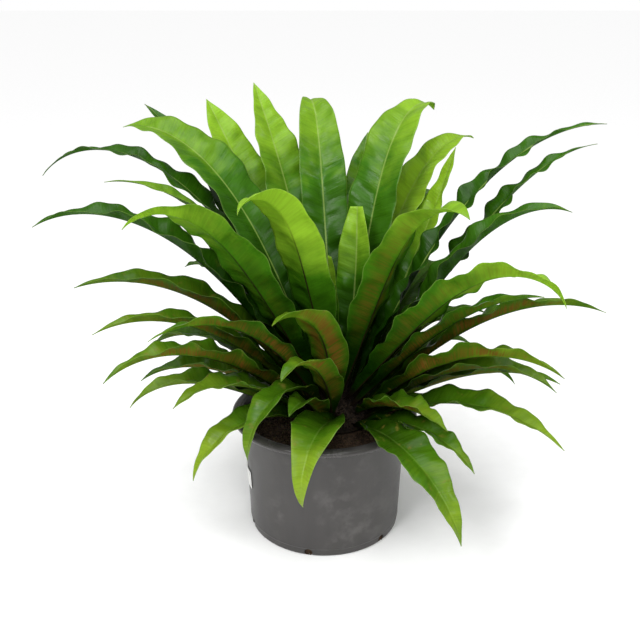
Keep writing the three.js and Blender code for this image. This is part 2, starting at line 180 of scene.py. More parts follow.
LOW = [
    (183, 278, 234, 66, 2.7, 50, 1.8, 0, 34, 5, 4, -12, 1),
    (196, 291, 225, 80, 3.2, 52, 1.8, 0, 34, 5, 4, 0, 1),
    (210, 247, 245, 80, 2.2, 56, 1.8, 0, 24, 5, 4, -2, 1),
    (213, 230, 140, 105, 1.5, 52, 1.6, 0, 24, 4, 3, 0, 1),
    (243, 142, 236, 90, 2.5, 50, 1.8, 0, 24, 4, 3, 0, 1),
    (304.5, 266, 104, 106, 1.5, 68, 1.3, 0, 20, 5, 4, -14, 1),
    (322, 225, 158, 74, 1.4, 48, 1.6, 0, 24, 5, 4, 0, 1),
    (337, 321, 185, 70, 1.4, 64, 1.6, 0, 22, 5, 4, 4, 1),
    (345, 302, 246, 82, 2, 54, 1.9, 0, 34, 5, 4, 0, 1),
    (353, 310, 240, 56, 2, 50, 1.9, 0, 34, 5, 4, 0, 1),
    (12, 275, 196, 85, 2, 48, 1.9, 0, 34, 5, 4, 0, 1),
    (28, 240, 235, 85, 2.2, 46, 1.9, 0, 30, 5, 4, 0, 1),
    (50, 300, 330, 80, 2.2, 62, 2.5, 0, 26, 5, 5, 0, 1),
    (69, 300, 230, 90, 2, 66, 2.5, 0, 26, 5, 4, 0, 1),
    (96, 320, 300, 85, 2, 64, 2.5, 0, 26, 5, 5, 0, 1),
    (118, 300, 200, 95, 1.8, 60, 2.5, 0, 26, 5, 4, 0, 1),
    (138, 330, 330, 80, 2.2, 62, 2.5, 0, 26, 5, 5, 0, 1),
    (160, 310, 230, 90, 2, 58, 2.5, 0, 26, 5, 4, 0, 1),
]

# Each frond's look: tone from dark to bright, amount of sori, crinkle of the margins.
# The tone is partly the frond's own and partly painted light and shade: fronds that stand in the light are
# made brighter, fronds in shadow darker.
LOOKS = {
    "heart_frond_1": (0.9, 0.0, 0.25),
    "heart_frond_2": (1.45, 0.0, 0.3),
    "heart_frond_3": (0.85, 0.5, 0.3),
    "heart_frond_4": (1.0, 0.0, 0.2),
    "heart_frond_5": (1.0, 0.0, 0.2),
    "inner_frond_1": (1.0, 0.0, 0.35),
    "inner_frond_2": (1.0, 0.0, 0.3),
    "inner_frond_3": (1.0, 0.0, 0.7),
    "inner_frond_4": (0.85, 0.15, 0.4),
    "inner_frond_5": (1.0, 0.4, 0.4),
    "inner_frond_6": (0.4, 0.0, 0.6),
    "inner_frond_7": (0.85, 0.0, 0.5),
    "middle_frond_1": (1.9, 0.0, 0.4),
    "middle_frond_2": (1.2, 0.0, 0.4),
    "middle_frond_3": (0.45, 0.0, 0.7),
    "middle_frond_4": (0.5, 0.0, 0.4),
    "middle_frond_5": (0.6, 0.7, 0.3),
    "middle_frond_6": (0.35, 0.0, 0.3),
    "middle_frond_7": (0.8, 0.0, 0.3),
    "middle_frond_8": (0.35, 0.0, 0.5),
    "middle_frond_9": (0.35, 0.0, 0.4),
    "middle_frond_10": (0.7, 1.0, 0.3),
    "middle_frond_11": (0.6, 0.0, 0.3),
    "outer_frond_1": (0.55, 1.2, 0.3),
    "outer_frond_2": (0.7, 1.0, 0.3),
    "outer_frond_3": (0.6, 1.2, 0.4),
    "outer_frond_4": (0.65, 1.2, 0.3),
    "outer_frond_5": (0.65, 0.2, 0.3),
    "outer_frond_6": (0.6, 1.0, 0.3),
    "outer_frond_7": (1.0, 0.3, 0.2),
    "outer_frond_8": (0.75, 1.2, 0.3),
    "outer_frond_9": (0.75, 1.2, 0.3),
    "outer_frond_10": (0.6, 1.3, 0.3),
    "outer_frond_15": (0.2, 0.0, 0.3),
    "low_frond_1": (0.4, 1.0, 0.3),
    "low_frond_2": (0.7, 0.3, 0.3),
    "low_frond_3": (0.8, 0.5, 0.3),
    "low_frond_4": (0.95, 0.5, 0.3),
    "low_frond_6": (0.75, 0.3, 0.3),
    "low_frond_7": (0.65, 0.2, 0.3),
    "low_frond_8": (0.9, 0.2, 0.3),
    "low_frond_9": (0.65, 0.8, 0.3),
    "low_frond_10": (0.55, 0.7, 0.3),
}
PLAIN_LOOK = (0.45, 0.6, 0.3)

# Leaf patterns in metres: pitch along the blade and reach across it
FINE_VEINS = (0.0021, 0.06)
BROAD_VEINS = (0.011, 0.04)
PATCHES = (0.045, 0.035)
SORI_FRINGE = (0.0045, 0.05)
SORI_LINES = (0.0016, 0.09)
RIB_HALF_WIDTHS = (0.0017, 0.0006)

# Leaf colours, as linear light: ramps from the dark base to the light tip, and the marks on them.
# The dark end of each ramp is partly painted shade where the fronds crowd round the crown.
YOUNG = [(0, (0.01, 0.05, 0.001)), (0.5, (0.045, 0.16, 0.004)), (1, (0.27, 0.47, 0.025))]
MATURE = [(0, (0.009, 0.042, 0.001)), (0.5, (0.04, 0.14, 0.004)), (1, (0.24, 0.41, 0.02))]
OLD = [(0, (0.012, 0.045, 0.001)), (0.5, (0.055, 0.15, 0.004)), (1, (0.23, 0.35, 0.02))]
WORN_BROWN = (0.2, 0.15, 0.03)
SORI_BROWN = (0.18, 0.07, 0.012)
RIB_PALE = (0.3, 0.42, 0.1)
RIB_BARK = (0.02, 0.013, 0.006)
MARGIN_PALE = (0.27, 0.37, 0.09)
FOOT_BROWN = (0.012, 0.008, 0.005)
LIGHT_THROUGH = (1.3, 1.6, 0.4)
TRANSLUCENT_SHARE = 0.26

# Studio, in metres and degrees
CAMERA_PLACE = (-0.0065, -1.118, 0.739)
CAMERA_BELOW_LEVEL = 20.7
SENSOR_WIDTH = 36
FOCAL_LENGTH = 47.8
WORLD_STRENGTH = 0.36
FLOOR_REACH = 60
FLOOR_WHITES = ((0.95, 0.95, 0.95), (0.97, 0.97, 0.97))

# Area lights: name, place, aim, power in watts, width and height.
AREA_LIGHTS = [
    ("key", (-1.0, -1.5, 1.9), (0, 0, 0.35), 26, 0.8, 0.5),
    ("fill", (1.6, -1.0, 1.5), (0, 0, 0.35), 12, 0.5, 0.9),
    ("front", (0.15, -2.0, 1.5), (0, 0, 0.4), 14, 0.9, 0.5),
]
OVERHEAD_PLACE = (-0.25, -0.35, 2)
OVERHEAD_STRENGTH = 2.2
OVERHEAD_ANGLE = 50


def smooth(x):
    t = np.clip(x, 0, 1)
    return t * t * (3 - 2 * t)


# A mesh object from points in millimetres, with UV maps and point attributes given per vertex.
def make_piece(name, points, faces, uvs=None, values=None):
    mesh = bpy.data.meshes.new(name)
    mesh.from_pydata([tuple(p) for p in np.asarray(points) * MM], [], faces)
    corners = np.zeros(len(mesh.loops), dtype=np.int32)
    mesh.loops.foreach_get("vertex_index", corners)
    for layer, uv in (uvs or {}).items():
        made = mesh.uv_layers.new(name=layer)
        made.data.foreach_set("uv", np.asarray(uv, dtype=np.float32)[corners].ravel())
    for label, value in (values or {}).items():
        made = mesh.attributes.new(label, "FLOAT", "POINT")
        made.data.foreach_set("value", np.asarray(value, dtype=np.float32))
    mesh.polygons.foreach_set("use_smooth", [True] * len(mesh.polygons))
    mesh.update()
    piece = bpy.data.objects.new(name, mesh)
    bpy.context.scene.collection.objects.link(piece)
    return piece


# Azimuths of a ring's frond bases: those of the tips, pushed apart until each base has room.
def base_azimuths(rows, radius):
    order = sorted(range(len(rows)), key=lambda i: rows[i][0])
    bases = [float(row[0]) for row in rows]
    pitch = min(360 / len(rows), math.degrees(BASE_PITCH / radius))
    for _ in range(SPACING_ROUNDS):
        for k, i in enumerate(order):
            following = order[(k + 1) % len(order)]
            turn = 360 if k + 1 == len(order) else 0
            short = pitch - (bases[following] + turn - bases[i])
            if short > 0:
                bases[i] -= short / 2
                bases[following] += short / 2
    return bases


# The midrib's line: centres and frames at the shares s of its length.
def spine(row, radius, height, base_azimuth, s):
    azimuth, reach, tip_height, arch_over, late = row[:5]
    sway = row[11]
    a = math.radians(azimuth)
    b = math.radians(base_azimuth)
    base = np.array([CROWN_X + radius * math.cos(b), CROWN_Y + radius * math.sin(b), height])
    tip = np.array([CROWN_X + reach * math.cos(a), CROWN_Y + reach * math.sin(a), tip_height])
    out = math.hypot(tip[0] - base[0], tip[1] - base[1])
    heading = math.atan2(tip[1] - base[1], tip[0] - base[0])
    mids = (np.arange(SPINE_STEPS) + 0.5) / SPINE_STEPS
    droop = -math.radians(arch_over) * mids**late
    run = np.concatenate([[0], np.cumsum(np.cos(droop))]) / SPINE_STEPS
    rise = np.concatenate([[0], np.cumsum(np.sin(droop))]) / SPINE_STEPS
    tilt = math.atan2(tip[2] - base[2], out) - math.atan2(rise[-1], run[-1])
    length = math.hypot(out, tip[2] - base[2]) / math.hypot(run[-1], rise[-1])
    knots = np.linspace(0, 1, SPINE_STEPS + 1)
    r = np.interp(s, knots, run)
    z = np.interp(s, knots, rise)
    along = np.array([math.cos(heading), math.sin(heading), 0])
    level = np.array([-math.sin(heading), math.cos(heading), 0])
    top = np.array([0, 0, 1.0])
    outward = length * (r * math.cos(tilt) - z * math.sin(tilt))
    upward = length * (r * math.sin(tilt) + z * math.cos(tilt))
    aside = sway * np.sin(np.pi * s)
    centre = base + outward[:, None] * along + upward[:, None] * top + aside[:, None] * level
    angle = -math.radians(arch_over) * s**late + tilt
    drift = sway * np.pi * np.cos(np.pi * s) / length
    forward = np.cos(angle)[:, None] * along + np.sin(angle)[:, None] * top + drift[:, None] * level
    forward /= np.linalg.norm(forward, axis=1)[:, None]
    up = np.cross(forward, level)
    up /= np.linalg.norm(up, axis=1)[:, None]
    side = np.cross(up, forward)
    return centre, up, side, length


def half_width(width, taper, s):
    rise = np.sin(np.pi / 2 * np.minimum(1, s / 0.5)) ** 1.5
    fall = np.where(s > 0.5, 1 - (np.maximum(s - 0.5, 0) / 0.5) ** taper, 1)
    return np.maximum(TIP_HALF_WIDTH, 0.5 * width * (BASE_SHARE + (1 - BASE_SHARE) * rise) * fall)


# Heights of the waves on the left and the right margin at the shares s, for waves one high.
def margin_waves(s, waves, phase, crinkle):
    margins = []
    for ahead, (rate, turns, shift) in zip((0, RIGHT_AHEAD), RIPPLES):
        wave = np.sin(2 * np.pi * (waves * s + phase + ahead))
        ripple = crinkle * np.sin(2 * np.pi * (rate * waves * s + turns * phase + shift))
        margins.append(wave + ripple)
    return margins


# Swelling of the blade between the midrib and the margin, in bands along the side veins.
def swelling(s, u, w, length, phase):
    away = np.abs(u)
    vein = s[:, None] * length - VEIN_SLANT * away[None, :] * w[:, None]
    side_shift = SWELLING_SHIFT * np.sign(u)[None, :]
    bands = sum(
        height * np.sin(2 * np.pi * (vein / pitch + turns * phase + side_shift))
        for pitch, height, turns in SWELLINGS
    )
    between = np.sin(np.pi * np.minimum(1, away * SWELLING_SPREAD))[None, :]
    return bands * between * smooth(w / FULL_SWELLING_WIDTH)[:, None]


# Faces that join two sheets of points, upper first, along both margins and at both ends.
def sheet_faces(rows, columns):
    count = rows * columns
    faces = []
    for i in range(rows - 1):
        for j in range(columns - 1):
            a = i * columns + j
            b = a + count
            faces.append((a, a + columns, a + columns + 1, a + 1))
            faces.append((b, b + 1, b + columns + 1, b + columns))
        a = i * columns
        b = a + columns - 1
        faces.append((a, a + count, a + columns + count, a + columns))
        faces.append((b, b + columns, b + columns + count, b + count))
    end = (rows - 1) * columns
    for j in range(columns - 1):
        faces.append((j, j + 1, j + 1 + count, j + count))
        faces.append((end + j, end + j + count, end + j + 1 + count, end + j + 1))
    return faces


# One blade: an upper and an under sheet around a folded, waved and swollen middle surface.
def frond(name, row, radius, height, base_azimuth, phase, look, seed):
    width, taper, twist, fold, waves, wave_height, _, kept = row[5:]
    tone, sori, crinkle = look
    rough_length = math.hypot(row[1], row[2] - height)
    s = np.linspace(0, kept, int(rough_length / STATION_PITCH) + 1)
    centre, up, side, length = spine(row, radius, height, base_azimuth, s)
    turn = np.radians(twist) * smooth(s / TWISTED_BY)
    normal = up * np.cos(turn)[:, None] - side * np.sin(turn)[:, None]
    across = side * np.cos(turn)[:, None] + up * np.sin(turn)[:, None]
    w = half_width(width, taper, s)
    u = np.linspace(-1, 1, COLUMNS + 1)
    away = np.abs(u)

    # The V of the channel is rounded over the midrib, and each half bulges a little.
    channel = np.radians(fold + (BASE_FOLD - fold) * (1 - smooth(s / FLATTENED_BY)))
    vee = np.sqrt(away**2 + CHANNEL_ROUNDING**2) - CHANNEL_ROUNDING
    vee = vee / vee[-1]
    left, right = margin_waves(s, waves, phase, crinkle)
    margin = np.where(u[None, :] < 0, left[:, None], right[:, None])
    lift = margin * (wave_height * w / (0.5 * width))[:, None] * (away**WAVE_FALL)[None, :]
    bulge = BULGE * w[:, None] * np.sin(np.pi * away)[None, :]
    flat = u[None, :] * (w * np.cos(channel))[:, None]
    raised = vee[None, :] * (w * np.sin(channel))[:, None] + lift + swelling(s, u, w, length, phase) + bulge
    sheet = centre[:, None, :] + across[:, None, :] * flat[..., None]
    sheet = sheet + normal[:, None, :] * raised[..., None]

    # The two halves face apart, and over the midrib one direction runs into the other.
    lean = np.sin(channel)[:, None] * np.clip(u / RIB_SOFTENING, -1, 1)[None, :]
    face = normal[:, None, :] * np.sqrt(1 - lean**2)[..., None] - across[:, None, :] * lean[..., None]
    half = (HALF_THICKNESS - MARGIN_THINNING * away)[None, :]
    distance = np.abs(flat)
    rib = np.exp(-((distance / RIB_WIDTH) ** 2)) * (RIB_DEPTH * (1 - s))[:, None]
    ridge = np.exp(-((distance / RIDGE_WIDTH) ** 2)) * (RIDGE_HEIGHT * (1 - 0.7 * s))[:, None]
    upper = sheet + face * (half + ridge)[..., None]
    under = sheet - face * (half + rib)[..., None]

    def doubled(a, b):
        one = np.stack(np.broadcast_arrays(a, b), axis=-1).reshape(-1, 2)
        return np.concatenate([one, one])

    count = s.size * u.size
    uvs = {
        "blade": doubled((u[None, :] + 1) / 2, s[:, None]),
        "metres": doubled(u[None, :] * w[:, None], s[:, None] * length) * MM,
    }
    # The tone value carries the frond's own tone together with painted light and shade.
    values = {
        "upper": np.concatenate([np.ones(count), np.zeros(count)]),
        "tone": np.full(2 * count, tone),
        "sori": np.full(2 * count, sori),
        "seed": np.full(2 * count, seed),
    }
    points = np.concatenate([upper.reshape(-1, 3), under.reshape(-1, 3)])
    return make_piece(name, points, sheet_faces(s.size, u.size), uvs, values)


# A node material under construction.
class Shader:
    def __init__(self, name):
        self.material = bpy.data.materials.new(name)
        self.material.use_nodes = True
        self.tree = self.material.node_tree
        self.tree.nodes.clear()
        self.output = self.tree.nodes.new("ShaderNodeOutputMaterial")

    def plug(self, value, socket):
        if isinstance(value, bpy.types.NodeSocket):
            self.tree.links.new(value, socket)
        elif isinstance(value, (tuple, list)) and len(value) == 3 and len(socket.default_value) == 4:
            socket.default_value = (*value, 1)
        else:
            socket.default_value = value

    def node(self, kind, inputs=None, **settings):
        made = self.tree.nodes.new("ShaderNode" + kind)
        for key, value in settings.items():
            setattr(made, key, value)
        for key, value in (inputs or {}).items():
            self.plug(value, made.inputs[key])
        return made

    def math(self, operation, a, b=0.0, clamp=False):
        made = self.node("Math", operation=operation, use_clamp=clamp)
        self.plug(a, made.inputs[0])
        self.plug(b, made.inputs[1])
        return made.outputs[0]

    def plus(self, a, b, clamp=False):
        return self.math("ADD", a, b, clamp)

    def minus(self, a, b):
        return self.math("SUBTRACT", a, b)

    def times(self, a, b, clamp=False):
        return self.math("MULTIPLY", a, b, clamp)

    # A smooth step from start to stop while the value goes from low to high.
    def span(self, value, low, high, start=0.0, stop=1.0):
        made = self.node("MapRange", interpolation_type="SMOOTHSTEP")
        parts = {"Value": value, "From Min": low, "From Max": high, "To Min": start, "To Max": stop}
        for key, part in parts.items():
            self.plug(part, made.inputs[key])
        return made.outputs[0]

    def blend(self, share, a, b, kind="MIX"):
        made = self.node("Mix", data_type="RGBA", blend_type=kind)
        self.plug(share, made.inputs[0])
        self.plug(a, made.inputs[6])
        self.plug(b, made.inputs[7])
        return made.outputs[2]

    def noise(self, vector, scale, detail=2.0, roughness=0.5):
        inputs = {"Vector": vector, "Scale": scale, "Detail": detail, "Roughness": roughness}
        return self.node("TexNoise", inputs).outputs["Fac"]

    def vector(self, x, y, z):
        return self.node("CombineXYZ", {0: x, 1: y, 2: z}).outputs[0]

    def place(self, **mapping):
        place = self.node("TexCoord").outputs["Object"]
        if not mapping:
            return place
        return self.node("Mapping", {"Vector": place, **mapping}).outputs[0]

    def bump(self, height, distance, strength):
        inputs = {"Height": height, "Distance": distance, "Strength": strength}
        return self.node("Bump", inputs).outputs[0]

    # A colour ramp through (place, colour) stops.
    def ramp(self, share, stops):
        made = self.node("ValToRGB", {"Fac": share})
        elements = made.color_ramp.elements
        while len(elements) < len(stops):
            elements.new(0.5)
        for element, (place, colour) in zip(elements, stops):
            element.position = place
            element.color = (*colour, 1)
        return made.outputs["Color"]

    def value(self, name):
        return self.node("Attribute", attribute_name=name).outputs["Fac"]

    # The main surface, from inputs of the principled shader by name.
    def skin(self, **inputs):
        named = {key.replace("_", " "): value for key, value in inputs.items()}
        return self.node("BsdfPrincipled", named).outputs[0]

    def finish(self, surface):
        self.tree.links.new(surface, self.output.inputs["Surface"])
        return self.material


# Places on a leaf and the noise patterns that its colours share.
def leaf_patterns(m):
    blade = m.node("SeparateXYZ", {0: m.node("UVMap", uv_map="blade").outputs[0]})
    metres = m.node("SeparateXYZ", {0: m.node("UVMap", uv_map="metres").outputs[0]})
    aside, onward = metres.outputs[0], metres.outputs[1]
    off = m.math("ABSOLUTE", aside)
    vein = m.minus(onward, m.times(off, VEIN_SLANT))
    seed = m.value("seed")

    def streaks(size, detail=2.0):
        pitch, reach = size
        return m.noise(m.vector(m.times(vein, 1 / pitch), m.times(aside, 1 / reach), seed), 1.0, detail)

    return SimpleNamespace(
        along=blade.outputs[1],
        across=m.math("ABSOLUTE", m.minus(m.times(blade.outputs[0], 2.0), 1.0)),
        off=off,
        upper=m.value("upper"),
        flecks=m.noise(m.vector(aside, onward, seed), 70, 5, 0.6),
        fine=streaks(FINE_VEINS),
        broad=streaks(BROAD_VEINS),
        patch=streaks(PATCHES, 4.0),
        fringe=streaks(SORI_FRINGE),
        lines=streaks(SORI_LINES, 1.0),
    )


# Greens of a leaf: light at the tip, dark towards the crown, streaked along the side veins.
# The darkening towards the crown is partly the leaf's own and partly painted shade from the fronds around
# it.
def leaf_green(m, p, greens, bright_from, bright_to):
    # Partly painted shade: the green darkens from the tip to the crown, and each frond's tone holds painted
    # light and shade.
    crown_darkening_and_shade = m.math("POWER", m.span(p.along, bright_from, bright_to, 0.08, 1.0), 1.5)
    tone = m.times(m.value("tone"), crown_darkening_and_shade)
    tone = m.plus(tone, m.span(p.patch, 0.3, 0.7, -0.08, 0.1))
    tone = m.plus(tone, m.span(p.broad, 0.3, 0.7, -0.04, 0.04), clamp=True)
    # Painted shade: the lower blade near the crown is darkened further.
    painted_crown_shade = m.span(p.along, 0.05, 0.6, 0.38, 1.0)
    shade = m.times(m.span(p.fine, 0.3, 0.7, 0.92, 1.06), painted_crown_shade)
    grey = m.node("CombineColor", {0: shade, 1: shade, 2: shade}).outputs[0]
    return m.blend(1.0, m.ramp(tone, greens), grey, "MULTIPLY")


# Share of sori: a soft zone on the under face, drawn as short fine lines along the side veins.
def sori_share(m, p):
    place = m.plus(p.across, m.times(m.minus(p.fringe, 0.5), 0.35))
    band = m.times(m.span(place, 0.02, 0.25), m.span(place, 0.92, 0.4))
    band = m.times(band, m.times(m.span(p.along, 0.2, 0.45), m.span(p.along, 0.96, 0.66)))
    lines = m.span(p.lines, 0.36, 0.6, 0.3, 1.0)
    lines = m.times(lines, m.span(p.patch, 0.3, 0.6, 0.45, 1.0))
    seen = m.span(p.upper, 0.0, 1.0, 1.0, 0.12)
    return m.times(m.times(band, lines), m.times(seen, m.value("sori")), clamp=True)


# A midrib pale above and dark below, pale margins and the dark foot of the stalk.
def leaf_marks(m, p, colour, rib_share):
    rib = m.span(p.off, *RIB_HALF_WIDTHS)
    pale = m.times(rib, m.times(p.upper, m.span(p.along, 0.1, 0.5, 0.3 * rib_share, rib_share)))
    colour = m.blend(pale, colour, RIB_PALE)
    bark = m.times(m.times(rib, m.minus(1.0, p.upper)), m.span(p.along, 0.85, 0.5))
    colour = m.blend(bark, colour, RIB_BARK)
    edge = m.times(m.span(p.across, 0.965, 0.995), m.times(0.35, m.span(p.along, 0.2, 0.6)))
    colour = m.blend(edge, colour, MARGIN_PALE)
    return m.blend(m.span(p.along, 0.09, 0.03), colour, FOOT_BROWN)


def leaf_material(name, greens, bright_from, bright_to, rib_share, blotches):
    m = Shader(name)
    p = leaf_patterns(m)
    sori = sori_share(m, p)
    colour = leaf_green(m, p, greens, bright_from, bright_to)
    colour = m.blend(m.times(m.span(p.flecks, 0.58, 0.72), blotches), colour, WORN_BROWN)
    colour = m.blend(m.times(sori, 0.78), colour, SORI_BROWN)
    colour = leaf_marks(m, p, colour, rib_share)
    normal = m.bump(m.plus(m.times(p.fine, 0.6), m.times(p.broad, 3.0)), 0.001, 0.5)
    rough = m.plus(m.span(p.fine, 0.3, 0.7, 0.27, 0.35), m.times(m.minus(1.0, p.upper), 0.2))
    rough = m.plus(rough, m.times(sori, 0.3))
    shine = m.times(m.span(p.upper, 0.0, 1.0, 0.03, 0.2), m.span(p.along, 0.1, 0.65, 0.15, 1.0))
    skin = m.skin(Base_Color=colour, Roughness=rough, Normal=normal, Specular_IOR_Level=shine)
    through = m.blend(1.0, colour, LIGHT_THROUGH, "MULTIPLY")
    glow = m.node("BsdfTranslucent", {"Color": through, "Normal": normal}).outputs[0]
    return m.finish(m.node("MixShader", {0: TRANSLUCENT_SHARE, 1: skin, 2: glow}).outputs[0])


# Dark grey moulded plastic with soft smudges, faint rubbed streaks, fine grain and a shinier lip.
def plastic_material():
    m = Shader("pot_plastic_worn")
    cloud = m.noise(m.place(), 9, 5, 0.6)
    rub = m.noise(m.place(Rotation=(0.5, 0.9, 0.2), Scale=(1, 0.2, 1)), 45, 4, 0.6)
    streak = m.noise(m.place(Scale=(1, 1, 0.15)), 60, 3)
    speck = m.noise(m.place(), 900, 2)
    smudge = m.times(m.span(cloud, 0.46, 0.64), m.span(rub, 0.42, 0.64), clamp=True)
    colour = m.blend(m.span(streak, 0.3, 0.7), (0.046, 0.0435, 0.0425), (0.052, 0.049, 0.048))
    colour = m.blend(m.span(cloud, 0.35, 0.65, 0.0, 0.5), colour, (0.058, 0.054, 0.051))
    colour = m.blend(m.times(smudge, 0.4), colour, (0.15, 0.145, 0.14))
    rough = m.plus(m.span(cloud, 0.3, 0.7, 0.3, 0.42), m.times(smudge, 0.2))
    height = m.node("SeparateXYZ", {0: m.place()}).outputs[2]
    lip_from = (POT_HEIGHT - LIP_HEIGHT - 2) * MM
    lip = m.span(height, lip_from, lip_from + 4 * MM)
    rough = m.times(rough, m.span(lip, 0.0, 1.0, 1.0, 0.6))
    normal = m.bump(m.plus(speck, m.times(cloud, 4.0)), 0.0003, 0.4)
    return m.finish(m.skin(Base_Color=colour, Roughness=rough, Normal=normal, Specular_IOR_Level=0.32))


# Crumbly matter: clods of two tones with lighter grains.
def soil_material(name, dark, light, scale):
    m = Shader(name)
    clod = m.noise(m.place(), scale, 5, 0.65)
    grain = m.noise(m.place(), scale * 7, 3)
    colour = m.blend(m.span(clod, 0.35, 0.7), dark, light)
    colour = m.blend(m.span(grain, 0.62, 0.75, 0, 0.5), colour, (0.11, 0.07, 0.04))
    normal = m.bump(m.plus(clod, grain), 0.001, 0.8)
    return m.finish(m.skin(Base_Color=colour, Roughness=0.9, Normal=normal, Specular_IOR_Level=0.25))


def label_material():
    m = Shader("label_paper")
    fibre = m.noise(m.place(), 700, 3)
    stain = m.noise(m.place(), 90, 3)
    colour = m.blend(m.span(stain, 0.45, 0.75, 0, 0.5), (0.8, 0.8, 0.78), (0.66, 0.65, 0.61))
    rough = m.span(fibre, 0.3, 0.7, 0.5, 0.65)
    return m.finish(m.skin(Base_Color=colour, Roughness=rough, Normal=m.bump(fibre, 0.0001, 0.5)))


def floor_material():
    m = Shader("floor_paper")
    grain = m.noise(m.place(), 40, 3)
    colour = m.blend(m.span(grain, 0.3, 0.7), *FLOOR_WHITES)
    return m.finish(m.skin(Base_Color=colour, Roughness=0.9))


# Faces between rings of points, with the first and the last ring closed.
def ring_faces(rings, sides):
    faces = []
    for k in range(rings - 1):
        for i in range(sides):
            j = (i + 1) % sides
            faces.append((k * sides + i, k * sides + j, (k + 1) * sides + j, (k + 1) * sides + i))
    last = (rings - 1) * sides
    faces.append(tuple(reversed(range(sides))))
    faces.append(tuple(last + i for i in range(sides)))
    return faces


def around(azimuth, radius):
    return radius * math.cos(azimuth), radius * math.sin(azimuth)


# A closed body turned about the Z axis.
def turned(name, profile, sides, lift=None):
    points = []
    for r, z in profile:
        for i in range(sides):
            x, y = around(2 * math.pi * i / sides, r)
            points.append((x, y, z + (lift(x, y, z) if lift else 0)))
    return make_piece(name, points, ring_faces(len(profile), sides))


# Corner points of a profile, each replaced by a short arc.
def rounded(corners, steps=4):
    out = [corners[0][:2]]
    for (x0, y0, *_), (x1, y1, r), (x2, y2, *_) in zip(corners, corners[1:], corners[2:]):
        p0, p1, p2 = Vector((x0, y0)), Vector((x1, y1)), Vector((x2, y2))
        a, b = (p0 - p1), (p2 - p1)
        cut = min(r, 0.48 * a.length, 0.48 * b.length)
        start, stop = p1 + a.normalized() * cut, p1 + b.normalized() * cut
        for k in range(steps + 1):
            t = k / steps
            point = start.lerp(p1, t).lerp(p1.lerp(stop, t), t)
            out.append((point.x, point.y))
    out.append(corners[-1][:2])
    return out


def wall_radius(z):
    return FOOT_RADIUS + (WALL_TOP_RADIUS - FOOT_RADIUS) * z / (POT_HEIGHT - LIP_HEIGHT)


# The pot's section from the middle of its underside round the lip to the middle of its floor: radius,
# height and rounding of each corner.
def pot_section():
    z0 = POT_HEIGHT - LIP_HEIGHT
    r0 = WALL_TOP_RADIUS
    return [
        (0.5, 0, 0),
        (FOOT_RADIUS - 3, 0, 1.5),
        (FOOT_RADIUS - 0.6, 2, 1.5),
        (FOOT_RADIUS, NOTCH_HEIGHT, 0.6),
        (wall_radius(12) + 0.5, 12.5, 0.6),
        (wall_radius(14) + 0.2, 14.5, 0.6),
        (r0, z0, 1.2),
        (LIP_RADIUS - 4, z0 + 1.2, 1.5),
        (LIP_RADIUS - 0.8, z0 + 3.4, 2),
        (LIP_RADIUS, z0 + 6, 2),
        (LIP_RADIUS - 1, z0 + 9, 2),
        (LIP_RADIUS - 4.5, POT_HEIGHT, 2.5),
        (MOUTH_RADIUS + 2, POT_HEIGHT, 1.5),
        (MOUTH_RADIUS, POT_HEIGHT - 1.5, 1.2),
        (r0 - WALL + 0.6, z0 - 1, 1),
        (FOOT_RADIUS - WALL - 0.4, FLOOR + 6, 2),
        (FOOT_RADIUS - WALL - 3, FLOOR, 2),
        (0.5, FLOOR, 0),
    ]


def notch_azimuths():
    return [math.radians(NOTCH_FIRST_AZIMUTH + 360 / NOTCHES * k) for k in range(NOTCHES)]


# A bar with the arched outline of a drain notch, laid across the pot's wall.
def notch_cutter(azimuth):
    half = NOTCH_WIDTH / 2
    outline = [(-half, -1), (half, -1)]
    for i in range(NOTCH_ARCH_STEPS + 1):
        x, rise = around(math.pi * i / NOTCH_ARCH_STEPS, half)
        outline.append((x, NOTCH_HEIGHT - half + rise))
    c, s = math.cos(azimuth), math.sin(azimuth)
    points = [(r * c - x * s, r * s + x * c, z) for r in (NOTCH_FROM, NOTCH_TO) for x, z in outline]
    return make_piece("notch_cutter", points, ring_faces(2, len(outline)))


def pot():
    body = turned("pot_shell", rounded(pot_section()), POT_SIDES)
    cutters = [notch_cutter(azimuth) for azimuth in notch_azimuths()]
    for cutter in cutters:
        cut = body.modifiers.new("notch", "BOOLEAN")
        cut.operation = "DIFFERENCE"
        cut.solver = "EXACT"
        cut.object = cutter
    apply_modifiers(body)
    for cutter in cutters:
        bpy.data.objects.remove(cutter)
    sharpen(body, SHARP_POT_EDGE)
    return body


def apply_modifiers(piece):
    view = bpy.context.evaluated_depsgraph_get()
    shaped = bpy.data.meshes.new_from_object(piece.evaluated_get(view))
    piece.modifiers.clear()
    piece.data = shaped


def sharpen(piece, degrees):
    mesh = piece.data
    mesh.polygons.foreach_set("use_smooth", [True] * len(mesh.polygons))
    mesh.set_sharp_from_angle(angle=math.radians(degrees))


# The mix's low mounds, which leave a level ring round the crown.
def mounds(x, y):
    away = math.hypot(x - CROWN_X, y - CROWN_Y) - CROWN_RADIUS - 8
    if away < 0:
        return 0
    share = min(1, away / 12)
    return share * (2.2 * math.sin(0.11 * x + 1) * math.cos(0.13 * y) + 1.2 * math.sin(0.31 * x - 0.23 * y))


# How far the top of the mix stands above or below its level.
def unevenness(x, y, z):
    if z < FILL_HEIGHT - 3:
        return 0
    rough = noise.fractal(Vector((x, y, 3)) * 0.12, 1.0, 2.1, 4)
    return mounds(x, y) + 1.5 * rough


